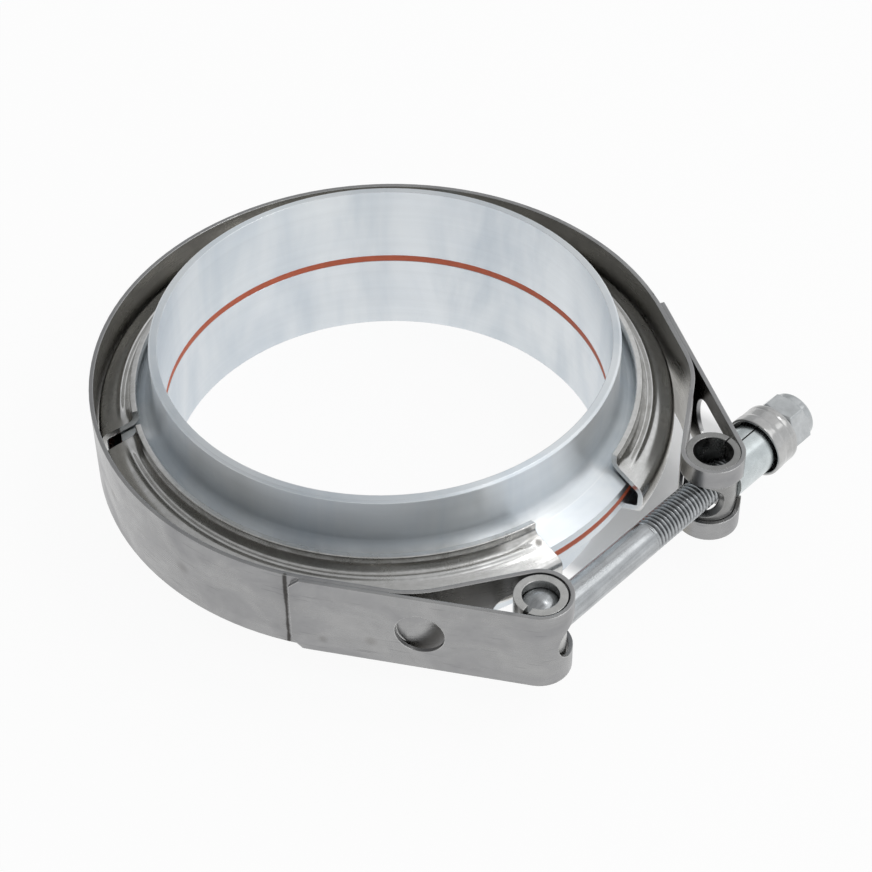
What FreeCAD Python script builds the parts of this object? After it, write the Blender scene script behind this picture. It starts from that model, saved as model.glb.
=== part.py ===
import FreeCAD, Part
import math
import os
import Sketcher

# V-band clamp closed on a pair of weld flanges with a flat gasket between them.
# Frame: origin at the centre of the joint plane, +Z along the pipe, the T-bolt at -Y and
# parallel to X, with its nut on the +X side.  Millimetres and degrees.

SIZES = [
    ("bore_radius", 42.8, "inner radius of the pipe and of the gasket"),
    ("tube_wall", 1.65, "wall of the flange's weld tube"),
    ("flange_reach", 17.2, "joint plane to the end of a weld tube"),
    ("gasket_thickness", 1.5, "flat gasket between the flanges"),
    ("flange_height", 8.6, "bore to the flange's outer edge"),
    ("flange_land", 1.75, "straight outer edge of a flange"),
    ("vee_angle", 25.0, "slope of the flange's back face and of the segment's leg"),
    ("throat_fillet", 3.0, "fillet between the weld tube and the sloped face"),
    ("rim_chamfer", 0.4, "weld edge of the tube"),
    ("seat_clearance", 0.3, "segment leg to the flange's sloped face"),
    ("segment_sheet", 1.2, "sheet of the V segments"),
    ("weld_clearance", 0.3, "segment web to the strap"),
    ("lip_depth", 3.8, "flange's outer edge to the inner face of the segment's lip"),
    ("lip_rise", 2.2, "edge of the lip above the leg's outer face"),
    ("bend_radius", 0.8, "inside bend between the segment's web and leg"),
    ("lip_bend", 1.6, "inside bend between the segment's leg and lip"),
    ("gap_left", 11.0, "segment end on the T-head side, from the middle plane"),
    ("gap_right", 11.8, "segment end on the nut side, from the middle plane"),
    ("side_angle", 148.2, "middle of the gap between side and back segments"),
    ("side_gap", 4.4, "angle of that gap"),
    ("strap_stand", 4.15, "flange's outer edge to the strap's inner face"),
    ("strap_sheet", 0.8, "sheet of the strap"),
    ("strap_width", 17.5, "width of the strap"),
    ("fold_gap", 0.05, "between the folded flap and the band below it"),
    ("loop_side", 24.0, "loop centre from the middle plane"),
    ("loop_stand", 4.55, "strap's inner face to the loop centres, square to the bolt"),
    ("fold_straight", 13.0, "straight welded stretch under each flap"),
    ("relief_radius", 20.0, "bend where the band leaves the flap"),
    ("flap_tail", 4.2, "angle of the flap's end past its tangent point"),
    ("flap_corner", 2.0, "cut corners of the flap"),
    ("flap_hole_radius", 4.5, "round hole in the T-head flap"),
    ("flap_hole_station", 19.3, "that hole from the flap's tangent point"),
    ("head_slot_room", 0.975, "bolt to the edge of the T-head loop's slot"),
    ("trunnion_slot_room", 1.425, "bolt to the edge of the nut-side loop's slot"),
    ("head_slot_past", 1.5, "slot's end beyond the T-head loop's centre"),
    ("slot_lift", 0.625, "bolt to the slot's end towards the pipe"),
    ("lead_slot_past", 3.3, "end of the slot in the T-head lead beyond the loop's centre"),
    ("lead_slot_reach", 8.8, "that end from the bolt axis, towards the pipe"),
    ("flap_slot_station", 23.8, "slot's round end in the nut-side flap from its tangent point"),
    ("window_clearance", 0.3, "flap window round the sleeve"),
    ("trunnion_clearance", 0.1, "trunnion tube in its loop"),
    ("trunnion_wall", 1.3, "wall of the trunnion tube"),
    ("tube_inset", 0.2, "tube ends below the strap's edges"),
    ("notch_start", 1.7, "trunnion's notch from its axis, towards the T-head"),
    ("notch_room", 0.725, "bolt to the round notch across the trunnion"),
    ("trunnion_seam", 0.3, "seam of the rolled trunnion tube, towards the sleeve"),
    ("exit_clearance", 0.4, "bolt in the trunnion's exit hole"),
    ("head_clearance", 0.35, "rolled head tube in its loop"),
    ("head_wall", 1.45, "wall of the head tube"),
    ("head_slit", 1.0, "slit of the head tube"),
    ("head_slit_angle", 8.0, "slit from the -X direction, towards -Y"),
    ("pin_clearance", 0.1, "T-head cross pin in the head tube"),
    ("pin_inset", 0.6, "pin ends below the strap's edges"),
    ("pin_dome", 1.4, "height of the pin's domed ends"),
    ("pin_excess", 0.075, "radius of the cross pin over the bolt's"),
    ("bolt_radius", 3.175, "shank and thread of the T-bolt"),
    ("bolt_chamfer", 0.6, "end of the T-bolt"),
    ("bolt_short", 0.8, "T-bolt's end inside the nut's end"),
    ("sleeve_wall", 1.575, "wall of the spacer sleeve"),
    ("sleeve_bore_clearance", 0.25, "bolt in the sleeve"),
    ("sleeve_seam", 0.3, "seam of the rolled sleeve"),
    ("sleeve_length", 13.2, "spacer sleeve from the saddle's crown to the cup's floor"),
    ("saddle_start", 3.0, "tips of the sleeve's saddle from the trunnion's axis"),
    ("seat_gap", 0.05, "between pieces that are pressed together by the nut"),
    ("cup_clearance", 0.6, "sleeve to the cup washer's skirt"),
    ("cup_sheet", 0.6, "sheet of the skirt"),
    ("cup_end", 1.0, "thickness of the cup's closed end"),
    ("cup_depth", 5.2, "inside depth of the cup"),
    ("cup_shoulder", 1.2, "rounded shoulder of the cup"),
    ("nut_wall", 1.825, "bolt to a flat of the nut"),
    ("nut_hex", 4.6, "length of the nut's hexagon"),
    ("nut_collar", 2.0, "length of the nut's domed collar"),
    ("collar_step", 0.25, "flat of the nut to the base of its domed collar"),
    ("thread_clearance", 0.05, "bolt in the nut and its insert"),
    ("insert_wall", 0.7, "nylon ring"),
    ("insert_length", 1.6, "recess of the nylon ring"),
    ("insert_inset", 0.3, "nylon ring below the nut's end"),
    ("insert_fit", 0.02, "nylon ring in its recess"),
    ("nut_turn", 2.0, "turn of the tightened nut's hexagon"),
]

# Sizes that follow from the others, so that a piece fits the one that it meets.
DERIVED = [
    ("flange_radius", "bore_radius + flange_height", "outer radius of a flange"),
    ("lip_radius", "flange_radius - lip_depth", "inner face of the segment's lip"),
    ("leg_fall", "(lip_radius + segment_sheet - flange_radius) * tan(vee_angle * 1 deg)",
     "drop of the slope from the flange's edge line to the lip's outer face"),
    ("leg_stand", "(seat_clearance + segment_sheet) / cos(vee_angle * 1 deg)",
     "height of the leg's outer face over the flange's slope"),
    ("lip_height", "gasket_thickness / 2 + flange_land - leg_fall + leg_stand + lip_rise",
     "joint plane to the edge of the lip"),
    ("strap_radius", "flange_radius + strap_stand", "inner face of the strap"),
    ("loop_drop", "strap_radius + loop_stand", "loop centre from the pipe axis"),
    ("pin_radius", "bolt_radius + pin_excess", "T-head cross pin"),
    ("head_bore", "pin_radius + pin_clearance", "inner radius of the head tube"),
    ("head_radius", "head_bore + head_wall", "outer radius of the head tube"),
    ("loop_radius", "head_radius + head_clearance + strap_sheet", "outer radius of a loop"),
    ("slot_half_height", "bolt_radius + head_slot_room", "slot of the T-head loop"),
    ("trunnion_slot_half", "bolt_radius + trunnion_slot_room", "slot of the nut-side loop"),
    ("slot_top", "bolt_radius + slot_lift", "slots' ends from the bolt axis, to the pipe"),
    ("notch_radius", "bolt_radius + notch_room", "round notch across the trunnion"),
    ("sleeve_bore", "bolt_radius + sleeve_bore_clearance", "inner radius of the sleeve"),
    ("sleeve_radius", "sleeve_bore + sleeve_wall", "outer radius of the sleeve"),
    ("cup_radius", "sleeve_radius + cup_clearance + cup_sheet", "cup washer's skirt"),
    ("nut_flats", "2 * (bolt_radius + nut_wall)", "across the nut's flats"),
    ("collar_radius", "nut_flats / 2 - collar_step", "base of the nut's domed collar"),
]

doc = FreeCAD.newDocument("VBandClamp")
sheet = doc.addObject("Spreadsheet::Sheet", "Sizes")
for row, (alias, number, meaning) in enumerate(SIZES, start=1):
    sheet.set(f"A{row}", meaning)
    sheet.set(f"B{row}", str(number))
    sheet.setAlias(f"B{row}", alias)
for row, (alias, formula, meaning) in enumerate(DERIVED, start=len(SIZES) + 1):
    sheet.set(f"A{row}", meaning)
    sheet.set(f"B{row}", f"={formula}")
    sheet.setAlias(f"B{row}", alias)
doc.recompute()

# Heights, radii and stations that several pieces share, as expressions of the sheet.
TUBE_RADIUS = "(Sizes.bore_radius + Sizes.tube_wall)"
LAND_TOP = "(Sizes.gasket_thickness / 2 + Sizes.flange_land)"
WEB_OUTER = "(Sizes.strap_radius - Sizes.weld_clearance)"
WEB_INNER = f"({WEB_OUTER} - Sizes.segment_sheet)"
LOOP_INNER = "(Sizes.loop_radius - Sizes.strap_sheet)"
TRUNNION_RADIUS = f"({LOOP_INNER} - Sizes.trunnion_clearance)"
NUT_BORE = "(Sizes.bolt_radius + Sizes.thread_clearance)"
SLEEVE_START = f"(Sizes.loop_side + {TRUNNION_RADIUS} + Sizes.seat_gap)"
CUP_FLOOR = f"({SLEEVE_START} + Sizes.sleeve_length + Sizes.seat_gap)"
CUP_BACK = f"({CUP_FLOOR} + Sizes.cup_end)"
NUT_START = f"({CUP_BACK} + Sizes.seat_gap)"
NUT_END = f"({NUT_START} + Sizes.nut_hex + Sizes.nut_collar)"
BOLT_END = f"({NUT_END} - Sizes.bolt_short)"


def cone_height(radius, clearance="0"):
    """Height of the sloped face at a radius, with a clearance square to the face."""
    fall = f"(Sizes.flange_radius - {radius}) * tan(Sizes.vee_angle * 1 deg)"
    return f"({LAND_TOP} + {fall} + ({clearance}) / cos(Sizes.vee_angle * 1 deg))"


def value(expression):
    return float(sheet.evalExpression(expression))


def origin_plane(body, role):
    return [plane for plane in body.Origin.OriginFeatures if plane.Role == role][0]


def new_body(name):
    body = doc.addObject("PartDesign::Body", name)
    body.Label = name
    return body


def new_sketch(body, role, name):
    sketch = body.newObject("Sketcher::SketchObject", name)
    sketch.AttachmentSupport = [(origin_plane(body, role), "")]
    sketch.MapMode = "FlatFace"
    return sketch


def pin_point(sketch, edge, end, across, up):
    """Holds one end of an edge at two expressions measured from the sketch's origin."""
    for kind, expression in (("DistanceX", across), ("DistanceY", up)):
        index = sketch.addConstraint(
            Sketcher.Constraint(kind, -1, 1, edge, end, value(expression)))
        sketch.setExpression(f"Constraints[{index}]", expression)


def add_outline(sketch, corners):
    """A closed outline of straight edges whose corners are pairs of expressions."""
    points = [FreeCAD.Vector(value(across), value(up), 0) for across, up in corners]
    first = sketch.GeometryCount
    count = len(points)
    for index in range(count):
        sketch.addGeometry(Part.LineSegment(points[index], points[(index + 1) % count]))
    for index, (across, up) in enumerate(corners):
        follower = first + (index + 1) % count
        sketch.addConstraint(Sketcher.Constraint("Coincident", first + index, 2, follower, 1))
        pin_point(sketch, first + index, 1, across, up)


def add_circle(sketch, across, up, radius):
    centre = FreeCAD.Vector(value(across), value(up), 0)
    circle = sketch.addGeometry(Part.Circle(centre, FreeCAD.Vector(0, 0, 1), value(radius)))
    pin_point(sketch, circle, 3, across, up)
    index = sketch.addConstraint(Sketcher.Constraint("Radius", circle, value(radius)))
    sketch.setExpression(f"Constraints[{index}]", radius)


def revolve(body, sketch, name, axis="V_Axis", angle="360"):
    feature = body.newObject("PartDesign::Revolution", name)
    feature.Profile = sketch
    feature.ReferenceAxis = (sketch, [axis])
    feature.setExpression("Angle", angle)
    doc.recompute()
    return feature


def pad(body, sketch, name, length, both_ways=True):
    feature = body.newObject("PartDesign::Pad", name)
    feature.Profile = sketch
    feature.Midplane = both_ways
    feature.setExpression("Length", length)
    doc.recompute()
    return feature


def pocket(body, sketch, name, length, both_ways=False, towards_normal=False):
    """Cuts a sketch out of the body, and refuses a cut that meets nothing."""
    before = body.Shape.Volume
    feature = body.newObject("PartDesign::Pocket", name)
    feature.Profile = sketch
    feature.Midplane = both_ways
    feature.Reversed = towards_normal
    feature.setExpression("Length", length)
    doc.recompute()
    if body.Shape.Volume > before - 0.01:
        raise RuntimeError(f"{name} cuts nothing")
    return feature


def ring_edges(shape, radius, station, axis):
    """Names of the circular edges with this radius at this station on an axis."""
    names = []
    for number, edge in enumerate(shape.Edges, start=1):
        curve = edge.Curve
        if not isinstance(curve, Part.Circle):
            continue
        offset = getattr(curve.Center, axis) - station
        if abs(curve.Radius - radius) < 0.001 and abs(offset) < 0.001:
            names.append(f"Edge{number}")
    return names


def round_rings(body, name, rings, radius, axis="z"):
    """Fillets the rings given as pairs of radius and station expressions."""
    base = body.Tip
    edges = []
    for ring_radius, station in rings:
        edges += ring_edges(base.Shape, value(ring_radius), value(station), axis)
    feature = body.newObject("PartDesign::Fillet", name)
    feature.Base = (base, edges)
    feature.setExpression("Radius", radius)
    doc.recompute()


def place(piece, across="0", along="0", up="0", turn=None):
    """Moves a piece to expressions, turned first by an axis and an angle."""
    if turn:
        axis, angle = turn
        piece.Placement = FreeCAD.Placement(
            FreeCAD.Vector(), FreeCAD.Rotation(FreeCAD.Vector(*axis), value(angle)))
        if axis == (0, 0, 1):
            piece.setExpression("Placement.Rotation.Angle", angle)
    for coordinate, expression in zip("xyz", (across, along, up)):
        piece.setExpression(f"Placement.Base.{coordinate}", expression)


def flange(name, flipped):
    """A weld tube that flares through a fillet into the sloped back face of the flange."""
    body = new_body(name)
    sketch = new_sketch(body, "XZ_Plane", f"{name}_profile")
    face = "Sizes.gasket_thickness / 2"
    throat = TUBE_RADIUS
    add_outline(sketch, [
        ("Sizes.bore_radius", face),
        ("Sizes.flange_radius", face),
        ("Sizes.flange_radius", LAND_TOP),
        (throat, cone_height(throat)),
        (throat, "Sizes.flange_reach - Sizes.rim_chamfer"),
        (f"{throat} - Sizes.rim_chamfer", "Sizes.flange_reach"),
        ("Sizes.bore_radius", "Sizes.flange_reach"),
    ])
    revolve(body, sketch, f"{name}_ring")
    round_rings(body, f"{name}_throat", [(throat, cone_height(throat))],
                "Sizes.throat_fillet")
    if flipped:
        place(body, turn=((1, 0, 0), "180"))
    return body


def gasket():
    body = new_body("gasket_ring")
    sketch = new_sketch(body, "XY_Plane", "gasket_outline")
    add_circle(sketch, "0", "0", "Sizes.bore_radius")
    add_circle(sketch, "0", "0", "Sizes.flange_radius")
    pad(body, sketch, "gasket_sheet", "Sizes.gasket_thickness")
    return body


def segment_corners():
    """Half of the V section, from the middle of the web out to the lip, and back."""
    lip_outer = "(Sizes.lip_radius + Sizes.segment_sheet)"
    clear = "Sizes.seat_clearance"
    back = "Sizes.seat_clearance + Sizes.segment_sheet"
    inside = [
        (WEB_INNER, cone_height(WEB_INNER, clear)),
        ("Sizes.lip_radius", cone_height("Sizes.lip_radius", clear)),
        ("Sizes.lip_radius", "Sizes.lip_height"),
    ]
    outside = [
        (lip_outer, "Sizes.lip_height"),
        (lip_outer, cone_height(lip_outer, back)),
        (WEB_OUTER, cone_height(WEB_OUTER, back)),
    ]
    return inside, outside


def segment(name, start, sweep, trim_side=0):
    """One retainer: the V section swept along its arc, its bolt end trimmed parallel to Y."""
    body = new_body(f"{name}_arc" if trim_side else name)
    inside, outside = segment_corners()
    upper = inside + outside
    lower = [(radius, f"-{height}") for radius, height in reversed(upper)]
    sketch = new_sketch(body, "XZ_Plane", f"{name}_section")
    add_outline(sketch, upper + lower)
    revolve(body, sketch, f"{name}_sweep", angle=sweep)
    for bend, inner, outer, radius in (
            ("web", inside[0], outside[2], "Sizes.bend_radius"),
            ("lip", outside[1], inside[1], "Sizes.lip_bend")):
        both_inner = [(inner[0], sign + inner[1]) for sign in ("", "-")]
        both_outer = [(outer[0], sign + outer[1]) for sign in ("", "-")]
        round_rings(body, f"{name}_{bend}_inside", both_inner, radius)
        round_rings(body, f"{name}_{bend}_outside", both_outer,
                    f"{radius} + Sizes.segment_sheet")
    place(body, turn=((0, 0, 1), start))
    if not trim_side:
        return body
    trim = doc.addObject("Part::Box", f"{name}_trim")
    for size in ("Length", "Width", "Height"):
        trim.setExpression(size, "Sizes.loop_drop")
    edge = "Sizes.gap_right - Sizes.loop_drop" if trim_side > 0 else "-Sizes.gap_left"
    place(trim, edge, "-1.5 * Sizes.loop_drop", "-Sizes.loop_drop / 2")
    cut = doc.addObject("Part::Cut", name)
    cut.Base = body
    cut.Tool = trim
    cut.Label = name
    doc.recompute()
    return cut


def ribbon_path(offset):
    """Tangent edges of half the strap on the T-head side, offset outwards from its middle.

    From the back the band follows the pipe, runs straight under the flap, bends away from
    it, wraps round the loop and returns as the flap, whose tail follows the band again.
    """
    sheet_size = value("Sizes.strap_sheet")
    band = value("Sizes.strap_radius") + sheet_size / 2
    loop = value("Sizes.loop_radius") - sheet_size / 2
    tail = band + sheet_size + value("Sizes.fold_gap")
    relief = value("Sizes.relief_radius")
    loop_centre = FreeCAD.Vector(-value("Sizes.loop_side"), -value("Sizes.loop_drop"), 0)
    origin = FreeCAD.Vector()
    bearing = math.atan2(loop_centre.y, loop_centre.x)
    flap_angle = bearing - math.acos((tail - loop) / loop_centre.Length)
    outwards = FreeCAD.Vector(math.cos(flap_angle), math.sin(flap_angle), 0)
    onwards = FreeCAD.Vector(-outwards.y, outwards.x, 0)
    straight_end = outwards * band + onwards * value("Sizes.fold_straight")
    relief_centre = straight_end - outwards * relief
    reach = loop_centre - relief_centre
    leave_angle = math.atan2(reach.y, reach.x) - math.acos((relief + loop) / reach.Length)
    end_angle = flap_angle - math.radians(value("Sizes.flap_tail"))

    def on_circle(centre, radius, angle):
        return centre + FreeCAD.Vector(math.cos(angle), math.sin(angle), 0) * radius

    def arc(centre, radius, low, high):
        circle = Part.Circle(centre, FreeCAD.Vector(0, 0, 1), radius)
        return Part.ArcOfCircle(circle, low, high)

    full = 2 * math.pi
    edges = [
        arc(origin, band + offset, math.pi / 2, flap_angle + full),
        Part.LineSegment(on_circle(origin, band + offset, flap_angle),
                         straight_end + outwards * offset),
        arc(relief_centre, relief + offset, flap_angle, leave_angle),
        Part.LineSegment(on_circle(relief_centre, relief + offset, leave_angle),
                         on_circle(loop_centre, loop - offset, leave_angle + math.pi)),
        arc(loop_centre, loop - offset, flap_angle, leave_angle + math.pi),
        Part.LineSegment(on_circle(loop_centre, loop - offset, flap_angle),
                         on_circle(origin, tail - offset, flap_angle)),
        arc(origin, tail - offset, end_angle, flap_angle),
    ]
    return edges


def tie_ribbon(sketch, first, side):
    """Ties one side of the ribbon: tangent joints, shared centres and sized radii."""
    band, straight, relief, lead, loop, flap, tail = range(first, first + 7)
    start, end, centre = 1, 2, 3
    joints = [(band, end, straight, start), (straight, end, relief, start),
              (relief, end, lead, start), (lead, end, loop, end),
              (loop, start, flap, start), (flap, end, tail, end)]
    for joint in joints:
        sketch.addConstraint(Sketcher.Constraint("Tangent", *joint))
    for curve in (band, tail):
        sketch.addConstraint(Sketcher.Constraint("Coincident", curve, centre, -1, 1))
    pin_point(sketch, loop, centre, "-Sizes.loop_side", "-Sizes.loop_drop")
    sketch.addConstraint(Sketcher.Constraint("PointOnObject", band, start, -2))
    outer = side > 0
    radii = {
        band: "Sizes.strap_radius" + (" + Sizes.strap_sheet" if outer else ""),
        relief: "Sizes.relief_radius" + (" + " if outer else " - ") + "Sizes.strap_sheet / 2",
        loop: "Sizes.loop_radius" + (" - Sizes.strap_sheet" if outer else ""),
        tail: "Sizes.strap_radius + Sizes.fold_gap"
              + (" + Sizes.strap_sheet" if outer else " + 2 * Sizes.strap_sheet"),
    }
    for curve, expression in radii.items():
        index = sketch.addConstraint(
            Sketcher.Constraint("Radius", curve, value(expression)))
        sketch.setExpression(f"Constraints[{index}]", expression)
    index = sketch.addConstraint(
        Sketcher.Constraint("Distance", straight, value("Sizes.fold_straight")))
    sketch.setExpression(f"Constraints[{index}]", "Sizes.fold_straight")


def flap_placement(side, station, across="0"):
    """A place below a flap's sheet: Z outwards, X towards the loop, from its tangent point."""
    tail = ribbon_path(0)[5]
    onwards = (tail.StartPoint - tail.EndPoint).normalize()
    outwards = FreeCAD.Vector(onwards.y, -onwards.x, 0)
    start = tail.EndPoint + onwards * value(station) - outwards * value("Sizes.strap_sheet")
    if side > 0:
        start, onwards, outwards = (
            FreeCAD.Vector(-vector.x, vector.y, 0) for vector in (start, onwards, outwards))
    sideways = outwards.cross(onwards)
    frame = FreeCAD.Matrix(*[
        number for row in zip(onwards, sideways, outwards) for number in (*row, 0)], 0, 0, 0, 1)
    place_at = FreeCAD.Placement(frame)
    place_at.Base = start + sideways * value(across)
    return place_at


def strap():
    """The strap: one sheet with a loop folded and welded back at each end."""
    body = new_body("strap_blank")
    sketch = new_sketch(body, "XY_Plane", "strap_edge")
    half_sheet = value("Sizes.strap_sheet") / 2
    outer = ribbon_path(half_sheet)
    inner = ribbon_path(-half_sheet)
    for edge in outer + inner:
        sketch.addGeometry(edge)
    count = len(outer)
    tie_ribbon(sketch, 0, 1)
    tie_ribbon(sketch, count, -1)
    back = sketch.addGeometry(Part.LineSegment(outer[0].StartPoint, inner[0].StartPoint))
    tip = sketch.addGeometry(Part.LineSegment(outer[-1].StartPoint, inner[-1].StartPoint))
    for line, edge in ((back, 0), (tip, count - 1)):
        sketch.addConstraint(Sketcher.Constraint("Coincident", line, 1, edge, 1))
        sketch.addConstraint(Sketcher.Constraint("Coincident", line, 2, edge + count, 1))
    sketch.addConstraint(Sketcher.Constraint("PointOnObject", -1, 1, tip))
    doc.recompute()
    pad(body, sketch, "strap_half", "Sizes.strap_width")
    mirrored = body.newObject("PartDesign::Mirrored", "strap_both_ends")
    mirrored.Originals = [body.Tip]
    mirrored.MirrorPlane = (origin_plane(body, "YZ_Plane"), [""])
    body.Tip = mirrored
    doc.recompute()

    tips = []
    half_width = value("Sizes.strap_width") / 2
    sheet_size = value("Sizes.strap_sheet")
    for number, edge in enumerate(body.Shape.Edges, start=1):
        middle = edge.CenterOfMass
        across_sheet = abs(edge.Length - sheet_size) < 0.001 and abs(middle.x) > sheet_size
        if across_sheet and abs(abs(middle.z) - half_width) < 0.001:
            tips.append(f"Edge{number}")
    corners = body.newObject("PartDesign::Chamfer", "flap_corners")
    corners.Base = (mirrored, tips)
    corners.setExpression("Size", "Sizes.flap_corner")
    doc.recompute()

    through = "Sizes.slot_top + 2 * Sizes.loop_radius"
    reach = "Sizes.lead_slot_reach"
    half = "Sizes.slot_half_height"
    head_round = f"(Sizes.loop_side + Sizes.head_slot_past - {half})"
    lead_round = f"(Sizes.loop_side + Sizes.lead_slot_past - {half})"
    mouth = "(Sizes.loop_side - 2 * Sizes.loop_radius)"
    for name, sign, centre, height, top, depth in (
            ("head_slot", "-", head_round, half, "Sizes.slot_top", through),
            ("lead_slot", "-", lead_round, half, reach, reach),
            ("trunnion_slot", "", "Sizes.loop_side", "Sizes.trunnion_slot_half",
             "Sizes.slot_top", through)):
        lift = f"Sizes.loop_drop - {top}"
        straight = new_sketch(body, "XZ_Plane", f"{name}_sides")
        straight.setExpression("AttachmentOffset.Base.z", lift)
        add_outline(straight, [(sign + centre, f"-{height}"), (sign + mouth, f"-{height}"),
                               (sign + mouth, height), (sign + centre, height)])
        pocket(body, straight, name, depth, towards_normal=True)
        rounded = new_sketch(body, "XZ_Plane", f"{name}_round")
        rounded.setExpression("AttachmentOffset.Base.z", lift)
        add_circle(rounded, sign + centre, "0", height)
        pocket(body, rounded, f"{name}_end", depth, towards_normal=True)
    window = new_sketch(body, "YZ_Plane", "sleeve_window_edge")
    window.setExpression("AttachmentOffset.Base.z", "Sizes.loop_side")
    add_circle(window, "-Sizes.loop_drop", "0", "Sizes.sleeve_radius + Sizes.window_clearance")
    pocket(body, window, "sleeve_window", "2.5 * Sizes.loop_radius", towards_normal=True)

    head_punch = doc.addObject("Part::Cylinder", "flap_punch")
    head_punch.setExpression("Radius", "Sizes.flap_hole_radius")
    head_punch.setExpression("Height", "2 * Sizes.strap_sheet")
    head_punch.Placement = flap_placement(-1, "Sizes.flap_hole_station")
    slot_round = doc.addObject("Part::Cylinder", "flap_slot_round")
    slot_round.setExpression("Radius", "Sizes.trunnion_slot_half")
    slot_round.setExpression("Height", "2 * Sizes.strap_sheet")
    slot_round.Placement = flap_placement(1, "Sizes.flap_slot_station")
    slot_sides = doc.addObject("Part::Box", "flap_slot_sides")
    slot_sides.setExpression("Length", "2 * Sizes.loop_radius")
    slot_sides.setExpression("Width", "2 * Sizes.trunnion_slot_half")
    slot_sides.setExpression("Height", "2 * Sizes.strap_sheet")
    slot_sides.Placement = flap_placement(1, "Sizes.flap_slot_station",
                                          "-Sizes.trunnion_slot_half")
    punches = doc.addObject("Part::MultiFuse", "flap_punches")
    punches.Shapes = [head_punch, slot_round, slot_sides]
    cut = doc.addObject("Part::Cut", "band_strap")
    cut.Base = body
    cut.Tool = punches
    cut.Label = "band_strap"
    doc.recompute()
    return cut


def trunnion():
    """The rolled tube in the nut-side loop, notched for the bolt and bored on its far side."""
    body = new_body("trunnion_tube")
    ring = new_sketch(body, "XY_Plane", "trunnion_ring")
    add_circle(ring, "0", "0", TRUNNION_RADIUS)
    add_circle(ring, "0", "0", f"{TRUNNION_RADIUS} - Sizes.trunnion_wall")
    pad(body, ring, "trunnion_wall_pad", "Sizes.strap_width - 2 * Sizes.tube_inset")
    notch = new_sketch(body, "XZ_Plane", "trunnion_notch_edge")
    add_circle(notch, "-(Sizes.notch_start + Sizes.notch_radius)", "0", "Sizes.notch_radius")
    pocket(body, notch, "trunnion_notch", "3 * Sizes.loop_radius", both_ways=True)
    bore = new_sketch(body, "YZ_Plane", "trunnion_exit_edge")
    add_circle(bore, "0", "0", "Sizes.bolt_radius + Sizes.exit_clearance")
    pocket(body, bore, "trunnion_exit", "2 * Sizes.loop_radius", towards_normal=True)
    seam = new_sketch(body, "XY_Plane", "trunnion_seam_edge")
    inner = f"{TRUNNION_RADIUS} - 1.5 * Sizes.trunnion_wall"
    outer = f"{TRUNNION_RADIUS} + Sizes.trunnion_wall / 2"
    half = "Sizes.trunnion_seam / 2"
    add_outline(seam, [(inner, f"-{half}"), (outer, f"-{half}"), (outer, half), (inner, half)])
    pocket(body, seam, "trunnion_seam", "2 * Sizes.strap_width", both_ways=True)
    place(body, "Sizes.loop_side", "-Sizes.loop_drop")
    return body


def head_tube():
    """The rolled tube in the T-head loop, open along its slit, bored for the shank."""
    body = new_body("head_tube")
    ring = new_sketch(body, "XY_Plane", "head_ring")
    add_circle(ring, "0", "0", "Sizes.head_radius")
    add_circle(ring, "0", "0", "Sizes.head_bore")
    pad(body, ring, "head_wall_pad", "Sizes.strap_width - 2 * Sizes.tube_inset")
    cosine = "cos(Sizes.head_slit_angle * 1 deg)"
    sine = "sin(Sizes.head_slit_angle * 1 deg)"
    corners = []
    for reach, side in ((0.5, 1), (1.5, 1), (1.5, -1), (0.5, -1)):
        along = f"{reach} * Sizes.loop_radius"
        half = f"{side / 2} * Sizes.head_slit"
        corners.append((f"-{along} * {cosine} + {half} * {sine}",
                        f"-{along} * {sine} - {half} * {cosine}"))
    slit = new_sketch(body, "XY_Plane", "head_slit_edge")
    add_outline(slit, corners)
    pocket(body, slit, "head_slit", "2 * Sizes.strap_width", both_ways=True)
    bore = new_sketch(body, "YZ_Plane", "head_bore_edge")
    add_circle(bore, "0", "0", "Sizes.bolt_radius + Sizes.exit_clearance")
    pocket(body, bore, "head_bore", "2 * Sizes.loop_radius", towards_normal=True)
    place(body, "-Sizes.loop_side", "-Sizes.loop_drop")
    return body


def t_bolt():
    """Shank with a rolled thread's outer size and a domed cross pin, one forging."""
    body = new_body("t_bolt")
    length = f"(Sizes.loop_side + {BOLT_END})"
    shank = new_sketch(body, "XY_Plane", "shank_profile")
    add_outline(shank, [
        ("0", "0"),
        (length, "0"),
        (length, "Sizes.bolt_radius - Sizes.bolt_chamfer"),
        (f"{length} - Sizes.bolt_chamfer", "Sizes.bolt_radius"),
        ("0", "Sizes.bolt_radius"),
    ])
    revolve(body, shank, "shank", axis="H_Axis")
    half_pin = "(Sizes.strap_width / 2 - Sizes.pin_inset)"
    pin = new_sketch(body, "XZ_Plane", "cross_pin_profile")
    add_outline(pin, [("0", f"-{half_pin}"), ("Sizes.pin_radius", f"-{half_pin}"),
                      ("Sizes.pin_radius", half_pin), ("0", half_pin)])
    revolve(body, pin, "cross_pin")
    round_rings(body, "pin_domes", [("Sizes.pin_radius", half_pin), ("Sizes.pin_radius", f"-{half_pin}")],
                "Sizes.pin_dome")
    place(body, "-Sizes.loop_side", "-Sizes.loop_drop")
    return body


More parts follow.
